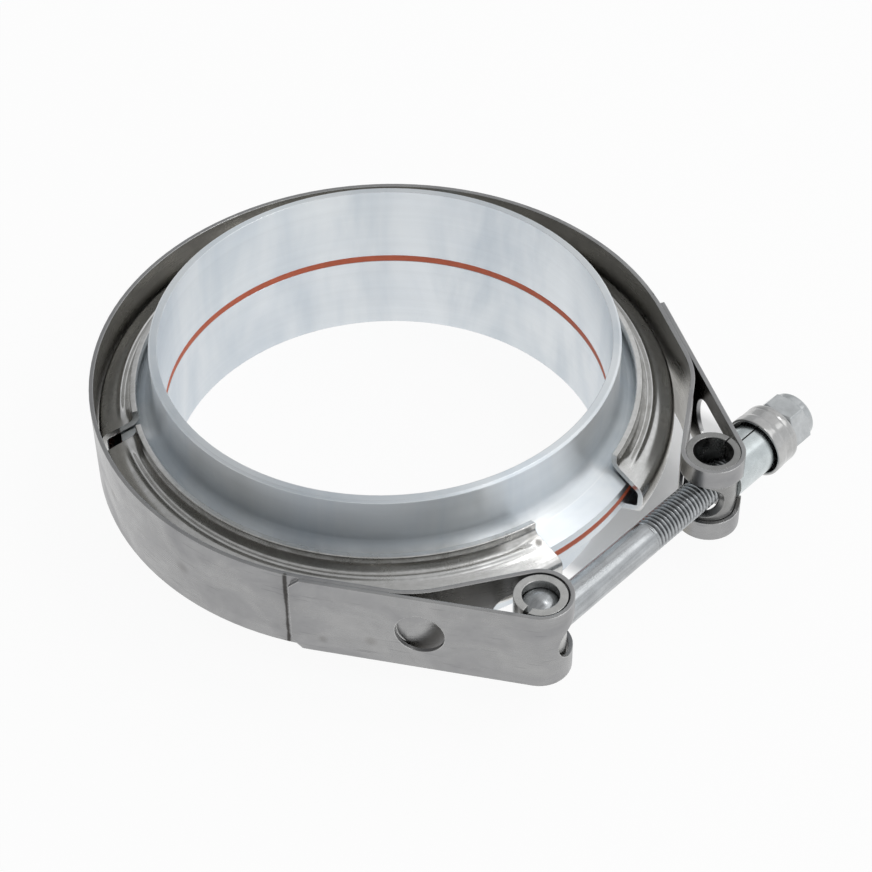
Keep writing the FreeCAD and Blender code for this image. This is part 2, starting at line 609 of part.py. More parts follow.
def spacer_sleeve():
    """A sheet rolled into a tube, its seam on top and its end saddled over the trunnion."""
    body = new_body("spacer_sleeve")
    ring = new_sketch(body, "YZ_Plane", "sleeve_ring")
    add_circle(ring, "0", "0", "Sizes.sleeve_radius")
    add_circle(ring, "0", "0", "Sizes.sleeve_bore")
    length = f"({CUP_FLOOR} - Sizes.seat_gap - Sizes.loop_side - Sizes.saddle_start)"
    pad(body, ring, "sleeve_wall_pad", length, both_ways=False)
    seam = new_sketch(body, "YZ_Plane", "sleeve_seam_edge")
    add_outline(seam, [("-Sizes.sleeve_seam / 2", "Sizes.bolt_radius"),
                       ("Sizes.sleeve_seam / 2", "Sizes.bolt_radius"),
                       ("Sizes.sleeve_seam / 2", "Sizes.cup_radius"),
                       ("-Sizes.sleeve_seam / 2", "Sizes.cup_radius")])
    pocket(body, seam, "sleeve_seam", length, towards_normal=True)
    saddle = new_sketch(body, "XY_Plane", "sleeve_saddle_edge")
    add_circle(saddle, "-Sizes.saddle_start", "0", f"{TRUNNION_RADIUS} + Sizes.seat_gap")
    pocket(body, saddle, "sleeve_saddle", "3 * Sizes.sleeve_radius", both_ways=True)
    place(body, "Sizes.loop_side + Sizes.saddle_start", "-Sizes.loop_drop")
    return body


def cup_washer():
    """A deep-drawn cup over the sleeve's end, with the nut on its closed end."""
    body = new_body("cup_washer")
    sketch = new_sketch(body, "XY_Plane", "cup_profile")
    skirt_bore = "Sizes.cup_radius - Sizes.cup_sheet"
    add_outline(sketch, [
        ("-Sizes.cup_depth", skirt_bore),
        ("-Sizes.cup_depth", "Sizes.cup_radius"),
        ("Sizes.cup_end", "Sizes.cup_radius"),
        ("Sizes.cup_end", "Sizes.sleeve_bore"),
        ("0", "Sizes.sleeve_bore"),
        ("0", skirt_bore),
    ])
    revolve(body, sketch, "cup_skirt", axis="H_Axis")
    round_rings(body, "cup_shoulder", [("Sizes.cup_radius", "Sizes.cup_end")],
                "Sizes.cup_shoulder", axis="x")
    place(body, CUP_FLOOR, "-Sizes.loop_drop")
    return body


def lock_nut():
    """A hexagon turned down to a domed collar that holds the nylon ring."""
    corner = "(Sizes.nut_flats / sqrt(3))"
    length = "(Sizes.nut_hex + Sizes.nut_collar)"
    bevel = f"({corner} - Sizes.nut_flats / 2) / 2"
    recess = f"({NUT_BORE} + Sizes.insert_wall)"
    envelope = new_body("nut_envelope")
    sketch = new_sketch(envelope, "XY_Plane", "nut_profile")
    add_outline(sketch, [
        ("0", NUT_BORE),
        ("0", "Sizes.nut_flats / 2"),
        (bevel, corner),
        (f"Sizes.nut_hex - {bevel}", corner),
        ("Sizes.nut_hex", "Sizes.nut_flats / 2"),
        ("Sizes.nut_hex", "Sizes.collar_radius"),
        (length, "Sizes.collar_radius"),
        (length, recess),
        (f"{length} - Sizes.insert_length", recess),
        (f"{length} - Sizes.insert_length", NUT_BORE),
    ])
    revolve(envelope, sketch, "nut_turning", axis="H_Axis")
    round_rings(envelope, "collar_dome", [("Sizes.collar_radius", length)],
                f"Sizes.collar_radius - {recess} - Sizes.insert_fit", axis="x")
    place(envelope, NUT_START, "-Sizes.loop_drop")
    prism = doc.addObject("Part::Prism", "nut_hexagon")
    prism.Polygon = 6
    prism.setExpression("Circumradius", corner)
    prism.setExpression("Height", length)
    towards_end = FreeCAD.Rotation(FreeCAD.Vector(0, 1, 0), 90)
    turned = FreeCAD.Rotation(FreeCAD.Vector(0, 0, 1), value("Sizes.nut_turn"))
    prism.Placement = FreeCAD.Placement(FreeCAD.Vector(), towards_end * turned)
    place(prism, NUT_START, "-Sizes.loop_drop")
    nut = doc.addObject("Part::Common", "lock_nut")
    nut.Base = envelope
    nut.Tool = prism
    nut.Label = "lock_nut"
    doc.recompute()
    return nut


def nylon_insert():
    body = new_body("nylon_insert")
    ring = new_sketch(body, "YZ_Plane", "insert_ring")
    add_circle(ring, "0", "0", f"{NUT_BORE} + Sizes.insert_wall - Sizes.insert_fit")
    add_circle(ring, "0", "0", NUT_BORE)
    pad(body, ring, "insert_wall_pad", "Sizes.insert_length - Sizes.insert_inset",
        both_ways=False)
    start = f"{NUT_END} - Sizes.insert_length + Sizes.insert_fit"
    place(body, start, "-Sizes.loop_drop")
    return body


# The side segments run from their gap to just past the trimming plane at the bolt.
BACK_START = "(180 - Sizes.side_angle + Sizes.side_gap / 2)"
BACK_SWEEP = f"(180 - 2 * {BACK_START})"
SIDE_SWEEP = f"(90 + {BACK_START} - Sizes.side_gap)"
LEFT_START = "(Sizes.side_angle + Sizes.side_gap / 2)"

pieces = [
    flange("upper_flange", flipped=False),
    flange("lower_flange", flipped=True),
    gasket(),
    segment("v_segment_back", BACK_START, BACK_SWEEP),
    segment("v_segment_right", "-90", SIDE_SWEEP, trim_side=1),
    segment("v_segment_left", LEFT_START, SIDE_SWEEP, trim_side=-1),
    strap(),
    trunnion(),
    head_tube(),
    t_bolt(),
    spacer_sleeve(),
    cup_washer(),
    lock_nut(),
    nylon_insert(),
]
doc.recompute()

for item in doc.Objects:
    if "Invalid" in item.State or "Error" in item.State:
        raise RuntimeError(f"{item.Label} failed: {item.State}")
for piece in pieces:
    if piece.Shape.isNull() or not piece.Shape.isValid() or not piece.Shape.Solids:
        raise RuntimeError(f"{piece.Label} has no valid solid")

os.makedirs("parts", exist_ok=True)
for piece in pieces:
    piece.Shape.exportStep(f"parts/{piece.Label}.step")
    count = len(piece.Shape.Solids)
    print(f"{piece.Label}: {piece.Shape.Volume:.1f} mm3, {count} solid")
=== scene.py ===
import math

import bmesh
import bpy
from mathutils import Matrix, Vector

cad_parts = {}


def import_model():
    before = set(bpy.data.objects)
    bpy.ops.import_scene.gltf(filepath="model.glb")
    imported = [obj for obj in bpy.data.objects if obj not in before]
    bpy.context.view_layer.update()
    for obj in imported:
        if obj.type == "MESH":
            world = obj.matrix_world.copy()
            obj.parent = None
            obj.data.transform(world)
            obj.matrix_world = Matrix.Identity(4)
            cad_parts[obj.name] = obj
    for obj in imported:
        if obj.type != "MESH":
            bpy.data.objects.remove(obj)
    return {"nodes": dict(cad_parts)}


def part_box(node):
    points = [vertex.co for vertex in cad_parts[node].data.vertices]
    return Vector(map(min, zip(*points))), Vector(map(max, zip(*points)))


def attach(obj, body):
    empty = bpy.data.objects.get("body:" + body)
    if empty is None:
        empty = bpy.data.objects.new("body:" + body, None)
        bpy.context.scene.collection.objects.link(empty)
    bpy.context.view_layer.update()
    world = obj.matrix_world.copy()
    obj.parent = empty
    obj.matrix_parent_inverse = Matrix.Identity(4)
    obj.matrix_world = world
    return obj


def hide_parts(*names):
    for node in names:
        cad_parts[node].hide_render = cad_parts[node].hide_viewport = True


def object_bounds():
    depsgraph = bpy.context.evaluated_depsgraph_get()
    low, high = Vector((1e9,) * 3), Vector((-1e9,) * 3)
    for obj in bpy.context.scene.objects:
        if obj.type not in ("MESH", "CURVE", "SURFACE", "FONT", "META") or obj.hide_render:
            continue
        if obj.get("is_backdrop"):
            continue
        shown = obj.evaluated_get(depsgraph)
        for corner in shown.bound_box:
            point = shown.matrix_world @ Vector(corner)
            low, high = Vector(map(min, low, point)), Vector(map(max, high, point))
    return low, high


# V-band clamp on a pair of weld flanges: the thread, the nut, the cup washer, the rolled V segments
# and the gasket in detail, then materials, floor, light and camera.
# Metres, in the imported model's frame: +Z along the pipe, the T-bolt parallel to X at -Y.

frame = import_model()
cad_low, cad_high = (list(corner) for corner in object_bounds())
NODES = frame["nodes"]

MM = 0.001
TAU = 2 * math.pi


# ---------------------------------------------------------------- places from the model

bolt_low, bolt_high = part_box("t_bolt")
nut_low, nut_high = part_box("lock_nut")
cup_low, cup_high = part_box("cup_washer")
head_low, head_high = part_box("head_tube")
HEAD_X = (head_low.x + head_high.x) / 2
AXIS_Y = (head_low.y + head_high.y) / 2

BOLT_RADIUS = 3.175 * MM
PITCH = 0.907 * MM
THREAD_DEPTH = 0.50 * MM
THREAD_START = 5.0 * MM


# ---------------------------------------------------------------- mesh helpers

def mesh_piece(name, mesh, body, node, smooth_angle):
    """A finished mesh as a piece that rides on a body and stands for a CAD node."""
    data = bpy.data.meshes.new(name)
    mesh.to_mesh(data)
    mesh.free()
    piece = bpy.data.objects.new(name, data)
    bpy.context.scene.collection.objects.link(piece)
    data.shade_smooth()
    data.set_sharp_from_angle(angle=math.radians(smooth_angle))
    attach(piece, body)
    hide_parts(node)
    return piece


def skin(mesh, rings, closed=True):
    """Quads between rings of points, and a fan over each end of a closed form."""
    made = [[mesh.verts.new(point) for point in ring] for ring in rings]
    count = len(rings[0])
    for near, far in zip(made, made[1:]):
        for index in range(count):
            follower = (index + 1) % count
            mesh.faces.new((near[index], near[follower], far[follower], far[index]))
    for ring, flip in ((made[0], True), (made[-1], False)) if closed else ():
        centre = mesh.verts.new(sum((vert.co for vert in ring), Vector()) / count)
        for index in range(count):
            corners = (ring[index], ring[(index + 1) % count], centre)
            mesh.faces.new(corners[::-1] if flip else corners)


def weld(mesh):
    """Joins the rings that meet where a profile closes on itself."""
    bmesh.ops.remove_doubles(mesh, verts=mesh.verts, dist=1e-7)


def along_x(station, radius_at, count, first=0.0):
    """A ring round the bolt axis whose radius may change with the angle."""
    ring = []
    for index in range(count):
        angle = first + TAU * index / count
        radius = radius_at(angle)
        ring.append((station, AXIS_Y + radius * math.cos(angle), radius * math.sin(angle)))
    return ring


def level_ring(x, y, radius, height, count):
    """A ring round a line parallel to Z."""
    return [(x + radius * math.cos(TAU * index / count),
             y + radius * math.sin(TAU * index / count), height) for index in range(count)]


def arc_points(centre_r, centre_s, radius, start, end, steps):
    """(radius, station) points along an arc of a lathe profile, its angles in degrees."""
    points = []
    for index in range(steps + 1):
        angle = math.radians(start + (end - start) * index / steps)
        points.append((centre_r + radius * math.cos(angle), centre_s + radius * math.sin(angle)))
    return points


def share(value, start, length):
    """0 up to the start, 1 from a length beyond it, and even in between."""
    return min(max((value - start) / length, 0.0), 1.0)


def soft_min(first, second, blend):
    """The smaller of two lengths with the edge between them rounded."""
    gap = max(blend - abs(first - second), 0.0) / blend
    return min(first, second) - gap * gap * blend * 0.25


def rounded(corners, steps=7):
    """An open outline through corners given as (radius, height, bend)."""
    points = [Vector(corners[0][:2])]
    for before, corner, after in zip(corners, corners[1:], corners[2:]):
        at = Vector(corner[:2])
        bend = corner[2]
        back = (Vector(before[:2]) - at).normalized()
        ahead = (Vector(after[:2]) - at).normalized()
        half = back.angle(ahead) / 2
        reach = bend / math.tan(half)
        centre = at + (back + ahead).normalized() * bend / math.sin(half)
        start = (at + back * reach - centre).normalized()
        end = (at + ahead * reach - centre).normalized()
        points += [centre + start.slerp(end, step / steps) * bend for step in range(steps + 1)]
    points.append(Vector(corners[-1][:2]))
    return points


def spread(points, longest):
    """The same outline with its long straight runs divided."""
    dense = [points[0]]
    for near, far in zip(points, points[1:]):
        parts = max(1, math.ceil((far - near).length / longest))
        dense += [near.lerp(far, part / parts) for part in range(1, parts + 1)]
    return dense


# ---------------------------------------------------------------- T-bolt with a real thread

BOLT_SIDES = 64
PLAIN_STEPS = 12
STEPS_PER_TURN = 9
ROOT_SHARE = 0.10           # flat bottom of the groove, as a share of half a pitch
FLANK_SHARE = 0.72          # its sloped side, likewise
RUN_OUT = 1.6 * PITCH       # length over which the thread starts
END_CHAMFER = 0.55 * MM
SMALLEST_RADIUS = 0.5 * MM
PIN_RADIUS = 3.25 * MM
PIN_DOME = 1.5 * MM
PIN_SIDES = 56


def thread_radius(station, angle):
    """Radius of the helical thread, with its run-out and the chamfer at the bolt's end."""
    turn = (station / PITCH - angle / TAU) % 1.0
    flank = share(abs(2 * turn - 1), ROOT_SHARE, FLANK_SHARE)
    groove = THREAD_DEPTH * (1 - flank) * share(station, THREAD_START, RUN_OUT)
    chamfer = max(0.0, station - (bolt_high.x - END_CHAMFER))
    return max(BOLT_RADIUS - groove - chamfer, SMALLEST_RADIUS)


def make_t_bolt():
    """The threaded shank, and the cross pin with a shallow dome at each end."""
    mesh = bmesh.new()
    plain = THREAD_START - HEAD_X
    rings = [along_x(HEAD_X + plain * step / PLAIN_STEPS, lambda angle: BOLT_RADIUS, BOLT_SIDES)
             for step in range(PLAIN_STEPS + 1)]
    threaded = bolt_high.x - THREAD_START
    steps = int(threaded / PITCH * STEPS_PER_TURN)
    for step in range(1, steps + 1):
        station = THREAD_START + threaded * step / steps
        rings.append(along_x(station, lambda angle: thread_radius(station, angle), BOLT_SIDES))
    skin(mesh, rings)
    half = (bolt_high.z - bolt_low.z) / 2
    sphere = (PIN_RADIUS ** 2 + PIN_DOME ** 2) / (2 * PIN_DOME)
    opening = math.degrees(math.asin(PIN_RADIUS / sphere))
    upper = arc_points(0, half - sphere, sphere, 89, 90 - opening, 12)
    profile = [(radius, -height) for radius, height in upper] + upper[::-1]
    skin(mesh, [level_ring(HEAD_X, AXIS_Y, radius, height, PIN_SIDES)
                for radius, height in profile])
    return mesh_piece("t_bolt_threaded", mesh, "clamp", "t_bolt", 35)


# ---------------------------------------------------------------- lock nut

NUT_SIDES = 96
NUT_FLATS = 10.0 * MM
NUT_CORNER = NUT_FLATS / math.sqrt(3)
NUT_TURN = math.radians(2.0)
NUT_BORE = BOLT_RADIUS + 0.05 * MM
HEX_LENGTH = 4.6 * MM
HEX_END = nut_low.x + HEX_LENGTH
HEX_STATIONS = (0.0, 0.05, 0.12, 0.2, 0.3, 0.4, 0.5, 0.65, 0.8, 1.2, 1.8, 2.4, 3.0, 3.5, 3.8, 4.0,
                4.1, 4.2, 4.3, 4.4, 4.48, 4.55, 4.6)
BEVEL_FACE = NUT_FLATS / 2 - 0.15 * MM      # radius of the bevels on the nut's two faces
BEVEL_SLOPE = 1.9
BEVEL_BLEND = 0.25 * MM
CORNER_CUT = 0.02 * MM
CORNER_BLEND = 0.12 * MM
COLLAR = 4.75 * MM
COLLAR_OVERLAP = 0.6 * MM                   # length of the hexagon that the collar may stand out of
COLLAR_DOME = 0.80 * MM
RECESS = NUT_BORE + 0.7 * MM
RECESS_DEPTH = 1.6 * MM
RECESS_EDGE = 0.12 * MM


def hex_radius(angle):
    """The six flats, their corners slightly rounded."""
    sixth = math.pi / 3
    nearest = (angle - NUT_TURN) % sixth
    flat = NUT_FLATS / 2 / math.cos(nearest - sixth / 2)
    return soft_min(flat, NUT_CORNER - CORNER_CUT, CORNER_BLEND)


def nut_radius(station, angle):
    """Flats cut by the turned bevels at both ends, and the collar where it stands out."""
    bevel_in = BEVEL_FACE + (station - nut_low.x) * BEVEL_SLOPE
    bevel_out = BEVEL_FACE + (HEX_END - station) * BEVEL_SLOPE
    body = soft_min(hex_radius(angle), bevel_in, BEVEL_BLEND)
    body = soft_min(body, bevel_out, BEVEL_BLEND)
    return max(body, COLLAR) if station > HEX_END - COLLAR_OVERLAP else body


def make_lock_nut():
    """The hexagon, the domed collar, the recess of the nylon ring, and back through the bore."""
    end = nut_high.x
    rings = [along_x(nut_low.x, lambda angle: NUT_BORE, NUT_SIDES, NUT_TURN)]
    for length in HEX_STATIONS:
        station = nut_low.x + length * MM
        rings.append(along_x(station, lambda angle: nut_radius(station, angle), NUT_SIDES,
                             NUT_TURN))
    profile = [(COLLAR, HEX_END + 0.02 * MM)]
    profile += arc_points(COLLAR - COLLAR_DOME, end - COLLAR_DOME, COLLAR_DOME, 0, 90, 10)
    profile += [(RECESS + RECESS_EDGE, end - 0.01 * MM), (RECESS, end - RECESS_EDGE),
                (RECESS, end - RECESS_DEPTH + 0.05 * MM), (NUT_BORE, end - RECESS_DEPTH),
                (NUT_BORE, nut_low.x)]
    rings += [along_x(station, lambda angle: radius, NUT_SIDES, NUT_TURN)
              for radius, station in profile]
    mesh = bmesh.new()
    skin(mesh, rings, closed=False)
    weld(mesh)
    return mesh_piece("lock_nut_domed", mesh, "nut", "lock_nut", 28)


# ---------------------------------------------------------------- cup washer

CUP_SIDES = 96
CUP = (cup_high.y - cup_low.y) / 2 - 0.01 * MM
CUP_BORE = BOLT_RADIUS + 0.25 * MM
CUP_FLOOR = 1.0 * MM
CUP_WALL = 0.6 * MM
CUP_RIM = 0.22 * MM
CUP_SHOULDER = 0.9 * MM
SKIRT_FROM, SKIRT_LENGTH, SKIRT_STEPS = 0.8, 4.2, 32    # millimetres from the rim, and steps
STEP_AT, STEP_IN, STEP_SOFT = 2.1, 0.13, 0.10           # where the skirt is drawn narrower
MARK_AT, MARK_IN, MARK_WIDE = 4.45, 0.07, 0.16          # the ring that the draw die left


def make_cup_washer():
    """A deep-drawn cup: floor, wall, rolled rim, stepped skirt and rounded shoulder."""
    floor_at = cup_high.x - CUP_FLOOR
    profile = [(CUP_BORE, cup_high.x), (CUP_BORE, floor_at), (CUP - CUP_WALL, floor_at)]
    profile += arc_points(CUP - CUP_WALL + CUP_RIM, cup_low.x + CUP_RIM, CUP_RIM, 180, 270, 5)
    profile += arc_points(CUP - CUP_RIM, cup_low.x + CUP_RIM, CUP_RIM, 270, 360, 5)
    for step in range(SKIRT_STEPS + 1):
        along = SKIRT_FROM + SKIRT_LENGTH * step / SKIRT_STEPS
        drawn_in = STEP_IN / (1 + math.exp(-(along - STEP_AT) / STEP_SOFT))
        mark = MARK_IN * math.exp(-((along - MARK_AT) / MARK_WIDE) ** 2)
        profile.append((CUP - (drawn_in + mark) * MM, cup_low.x + along * MM))
    profile += arc_points(CUP - STEP_IN * MM - CUP_SHOULDER, cup_high.x - CUP_SHOULDER,
                          CUP_SHOULDER, 0, 90, 8)
    profile.append((CUP_BORE, cup_high.x))
    mesh = bmesh.new()
    skin(mesh, [along_x(station, lambda angle: radius, CUP_SIDES)
                for radius, station in profile], closed=False)
    weld(mesh)
    bmesh.ops.recalc_face_normals(mesh, faces=mesh.faces)
    return mesh_piece("cup_washer_drawn", mesh, "tension_stack", "cup_washer", 40)


# ---------------------------------------------------------------- gasket

BORE = 42.8 * MM
GASKET_CORNER = 0.12 * MM
GASKET_SIDES = 240
HAIR = 0.01 * MM            # what the gasket keeps inside its CAD solid, and half of it each face


def make_gasket():
    """The moulded ring with soft corners, a hair clear of the flanges that it lies between."""
    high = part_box("gasket_ring")[1]
    outer, inner, half = high.x - HAIR, BORE + HAIR, high.z - HAIR / 2
    outline = rounded([(inner, 0, 0), (inner, half, GASKET_CORNER), (outer, half, GASKET_CORNER),
                       (outer, -half, GASKET_CORNER), (inner, -half, GASKET_CORNER),
                       (inner, -0.1 * MM, 0)], 4)
    rings = [level_ring(0, 0, point.x, point.y, GASKET_SIDES) for point in outline]
    mesh = bmesh.new()
    skin(mesh, rings + rings[:1], closed=False)
    weld(mesh)
    bmesh.ops.recalc_face_normals(mesh, faces=mesh.faces)
    return mesh_piece("gasket_moulded", mesh, "lower_pipe", "gasket_ring", 50)


# ---------------------------------------------------------------- V segments

SHEET = 1.2 * MM
SEAT = 0.3 * MM             # leg to the flange's sloped face
VEE = math.radians(25.0)
RIM = 51.4 * MM             # outer radius of the flanges
RIM_HALF = 2.5 * MM         # joint plane to the edge of a flange's sloped face
LIP = 47.6 * MM
LIP_TOP = 7.57 * MM
WEB = 55.25 * MM
WEB_BEND, LIP_BEND_OUT, LIP_BEND_IN, INNER_BEND = 2.0 * MM, 1.6 * MM, 2.8 * MM, 0.8 * MM
EDGE_ROUND = 0.22 * MM
OUTLINE_STEP = 0.17 * MM
# Rolled into the leg, in millimetres: height, middle radius and width. The first is the valley
# beside the lip, the second the ridge outside it, and the third the leg's slight crown.
BEADS = ((-0.42, 49.85, 0.50), (0.42, 50.85, 0.42), (0.12, 52.4, 1.0))
# Where the beads begin and over what length they rise: radius, height, distance from an end.
BEADS_RADIUS, BEADS_RADIUS_RISE = 48.9 * MM, 0.4 * MM
BEADS_HEIGHT, BEADS_HEIGHT_RISE = 1.5 * MM, 0.8 * MM
BEADS_END, BEADS_END_RISE = 1.2 * MM, 6.0 * MM
ARC_STEPS = 110
END_CROWDING = 0.3          # how much closer the rings stand near a segment's ends
GAP_AT, GAP_HALF = 148.2, 2.2       # degrees: the gap between a side segment and the back one


def leg_height(radius, above_flange):
    """Height of the leg's face that lies so far from the flange's slope."""
    return RIM_HALF + above_flange / math.cos(VEE) + (RIM - radius) * math.tan(VEE)


OUTER_FACE = spread(rounded([
    (WEB, 0, 0),
    (WEB, leg_height(WEB, SEAT + SHEET), WEB_BEND),
    (LIP + SHEET, leg_height(LIP + SHEET, SEAT + SHEET), LIP_BEND_OUT),
    (LIP + SHEET, LIP_TOP, EDGE_ROUND),
    (LIP + SHEET / 2, LIP_TOP, 0)]), OUTLINE_STEP)
INNER_FACE = rounded([
    (LIP + SHEET / 2, LIP_TOP, 0),
    (LIP, LIP_TOP, EDGE_ROUND),
    (LIP, leg_height(LIP, SEAT), LIP_BEND_IN),
    (WEB - SHEET, leg_height(WEB - SHEET, SEAT), INNER_BEND),
    (WEB - SHEET, 0, 0)])[1:]


def bead(radius):
    """Height that the rolled beads add to the leg's outer face."""
    at = radius / MM
    return sum(height * math.exp(-((at - middle) / width) ** 2)
               for height, middle, width in BEADS) * MM


def section(weight):
    """The closed V section, its beads at a share of their full height."""
    upper = []
    for point in OUTER_FACE:
        off_lip = share(point.x, BEADS_RADIUS, BEADS_RADIUS_RISE)
        off_web = share(point.y, BEADS_HEIGHT, BEADS_HEIGHT_RISE)
        upper.append((point.x, point.y + weight * off_lip * off_web * bead(point.x)))
    upper += [(point.x, point.y) for point in INNER_FACE]
    lower = [(radius, -height) for radius, height in reversed(upper)]
    return upper + lower[1:-1]


def make_segment(name, node, start, end):
    """The V section along its arc; start and end give the angle for each radius."""
    mesh = bmesh.new()
    rings = []
    for step in range(ARC_STEPS + 1):
        along = step / ARC_STEPS
        along -= END_CROWDING / TAU * math.sin(TAU * along)
        from_end = min(along, 1 - along) * (end(WEB) - start(WEB)) * WEB
        rise = share(from_end, BEADS_END, BEADS_END_RISE)
        ring = []
        for radius, height in section(rise * rise * (3 - 2 * rise)):
            angle = start(radius) + along * (end(radius) - start(radius))
            ring.append(mesh.verts.new((radius * math.cos(angle), radius * math.sin(angle),
                                        height)))
        rings.append(ring)
    count = len(rings[0])
    for near, far in zip(rings, rings[1:]):
        for index in range(count):
            follower = (index + 1) % count
            mesh.faces.new((near[index], far[index], far[follower], near[follower]))
    mesh.faces.new(rings[0])
    mesh.faces.new(rings[-1][::-1])
    bmesh.ops.recalc_face_normals(mesh, faces=mesh.faces)
    return mesh_piece(name, mesh, "clamp", node, 40)


def at_angle(degrees):
    """A segment end cut along a radius."""
    return lambda radius: math.radians(degrees)


def at_x(degrees, x):
    """A segment end cut square across, at an X beside the bolt gap."""
    return lambda radius: math.radians(degrees) + math.asin(x / radius)


left_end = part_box("v_segment_left")[1].x
right_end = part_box("v_segment_right")[0].x

t_bolt = make_t_bolt()
lock_nut = make_lock_nut()
cup_washer = make_cup_washer()
gasket_ring = make_gasket()
segments = [
    make_segment("segment_left_rolled", "v_segment_left",
                 at_angle(GAP_AT + GAP_HALF), at_x(270, left_end)),
    make_segment("segment_right_rolled", "v_segment_right",
                 at_x(-90, right_end), at_angle(180 - GAP_AT - GAP_HALF)),
    make_segment("segment_back_rolled", "v_segment_back",
                 at_angle(180 - GAP_AT + GAP_HALF), at_angle(GAP_AT - GAP_HALF)),
]


# ---------------------------------------------------------------- material helpers

BEVEL_SAMPLES = 6
QUARTER_TURN = 0.25
WEAR_AND_HIGHLIGHT_FROM, WEAR_AND_HIGHLIGHT_FULL = 0.995, 0.863636363636        # cosines between a face and its rounded edge


class Maker:
    """Builds one node material, a node at a time."""

    def __init__(self, name):
        self.material = bpy.data.materials.new(name)
        self.material.use_nodes = True
        self.tree = self.material.node_tree
        self.tree.nodes.clear()
        self.out = self.add("ShaderNodeOutputMaterial")
        self.shader = self.add("ShaderNodeBsdfPrincipled")
        self.link(self.shader.outputs[0], self.out.inputs["Surface"])
        self.place = self.add("ShaderNodeTexCoord").outputs["Object"]

    def add(self, kind, **settings):
        node = self.tree.nodes.new(kind)
        for name, setting in settings.items():
            setattr(node, name, setting)
        return node

    def link(self, source, target):
        self.tree.links.new(source, target)

    def feed(self, socket, value):
        """Links a socket, or sets it to a number or a colour."""
        if isinstance(value, tuple):
            socket.default_value = (*value, 1.0)
        elif isinstance(value, (int, float)):
            socket.default_value = value
        else:
            self.link(value, socket)

    def maths(self, operation, *values):
        node = self.add("ShaderNodeMath", operation=operation)
        for socket, value in zip(node.inputs, values):
            self.feed(socket, value)
        return node.outputs[0]

    def coordinate(self, axis):
        parts = self.add("ShaderNodeSeparateXYZ")
        self.link(self.place, parts.inputs[0])
        return parts.outputs[axis]

    def scaled(self, x, y, z):
        """Object coordinates stretched by three factors per metre."""
        node = self.add("ShaderNodeVectorMath", operation="MULTIPLY")
        self.link(self.place, node.inputs[0])
        node.inputs[1].default_value = (x, y, z)
        return node.outputs[0]

    def lathe(self, fine, slow):
        """Coordinates for marks that run round the Z axis."""
        parts = self.add("ShaderNodeSeparateXYZ")
        self.link(self.place, parts.inputs[0])
        x, y, z = parts.outputs
        radius = self.maths("SQRT", self.maths("ADD", self.maths("MULTIPLY", x, x),
                                               self.maths("MULTIPLY", y, y)))
        joined = self.add("ShaderNodeCombineXYZ")
        self.link(self.maths("MULTIPLY", radius, fine), joined.inputs[0])
        self.link(self.maths("MULTIPLY", z, fine), joined.inputs[1])
        self.link(self.maths("MULTIPLY", self.maths("ARCTAN2", y, x), slow), joined.inputs[2])
        return joined.outputs[0]

    def noise(self, vector, scale, detail=3.0, roughness=0.55, distortion=0.0):
        node = self.add("ShaderNodeTexNoise")
        self.link(vector, node.inputs["Vector"])
        node.inputs["Scale"].default_value = scale
        node.inputs["Detail"].default_value = detail
        node.inputs["Roughness"].default_value = roughness
        node.inputs["Distortion"].default_value = distortion
        return node.outputs["Fac"]

    def distance(self, x, y, z):
        """Distance from a point."""
        node = self.add("ShaderNodeVectorMath", operation="DISTANCE")
        self.link(self.place, node.inputs[0])
        node.inputs[1].default_value = (x, y, z)
        return node.outputs["Value"]

    def distance_from_line(self, x, y, z, keep):
        """Distance from a line along the axis whose factor in keep is 0."""
        node = self.add("ShaderNodeVectorMath", operation="DISTANCE")
        self.link(self.scaled(*keep), node.inputs[0])
        node.inputs[1].default_value = (x, y, z)
        return node.outputs["Value"]

    def from_upright(self, x, y):
        """Distance from a line parallel to Z."""
        return self.distance_from_line(x, y, 0.0, (1.0, 1.0, 0.0))

    def span(self, value, low, high, to_low, to_high):
        """Maps low..high to to_low..to_high, and stays there beyond both ends."""
        node = self.add("ShaderNodeMapRange")
        self.link(value, node.inputs[0])
        for socket, number in zip(node.inputs[1:5], (low, high, to_low, to_high)):
            socket.default_value = number
        return node.outputs[0]

    def thread_root_shade(self):
        """1 at the bottom of the bolt's thread, and 0 at its crest and at the bolt's end."""
        reach = self.distance_from_line(0.0, AXIS_Y, 0.0, (0.0, 1.0, 1.0))
        depth = self.span(reach, BOLT_RADIUS - 0.8 * THREAD_DEPTH,
                          BOLT_RADIUS - 0.15 * THREAD_DEPTH, 1.0, 0.0)
        before_end = self.span(self.coordinate("X"), bolt_high.x - 0.8 * MM,
                               bolt_high.x - 0.5 * MM, 1.0, 0.0)
        return self.maths("MULTIPLY", depth, before_end)

    def cosine(self, first, second):
        node = self.add("ShaderNodeVectorMath", operation="DOT_PRODUCT")
        self.link(first, node.inputs[0])
        self.link(second, node.inputs[1])
        return node.outputs["Value"]

    def facing_in(self):
        """1 on surfaces that look towards the Z axis."""
        own = self.add("ShaderNodeNewGeometry").outputs["Normal"]
        return self.span(self.cosine(self.scaled(20.0, 20.0, 0.0), own), -0.5, -0.1, 1.0, 0.0)

    def edge_wear_and_highlight(self, normal):
        """1 where the rounded normal leaves the face's own: along the edges, where the materials
        lay edge wear and a painted highlight.
        """
        own = self.add("ShaderNodeNewGeometry").outputs["Normal"]
        return self.span(self.cosine(normal, own), WEAR_AND_HIGHLIGHT_FULL, WEAR_AND_HIGHLIGHT_FROM, 1.0, 0.0)

    def ring(self, inner, inner_soft, outer, outer_soft):
        """1 between two radii round the Z axis, given in millimetres, with soft edges."""
        reach = self.from_upright(0.0, 0.0)
        rise = self.span(reach, (inner - inner_soft) * MM, (inner + inner_soft) * MM, 0.0, 1.0)
        fall = self.span(reach, (outer - outer_soft) * MM, (outer + outer_soft) * MM, 1.0, 0.0)
        return self.maths("MULTIPLY", rise, fall)

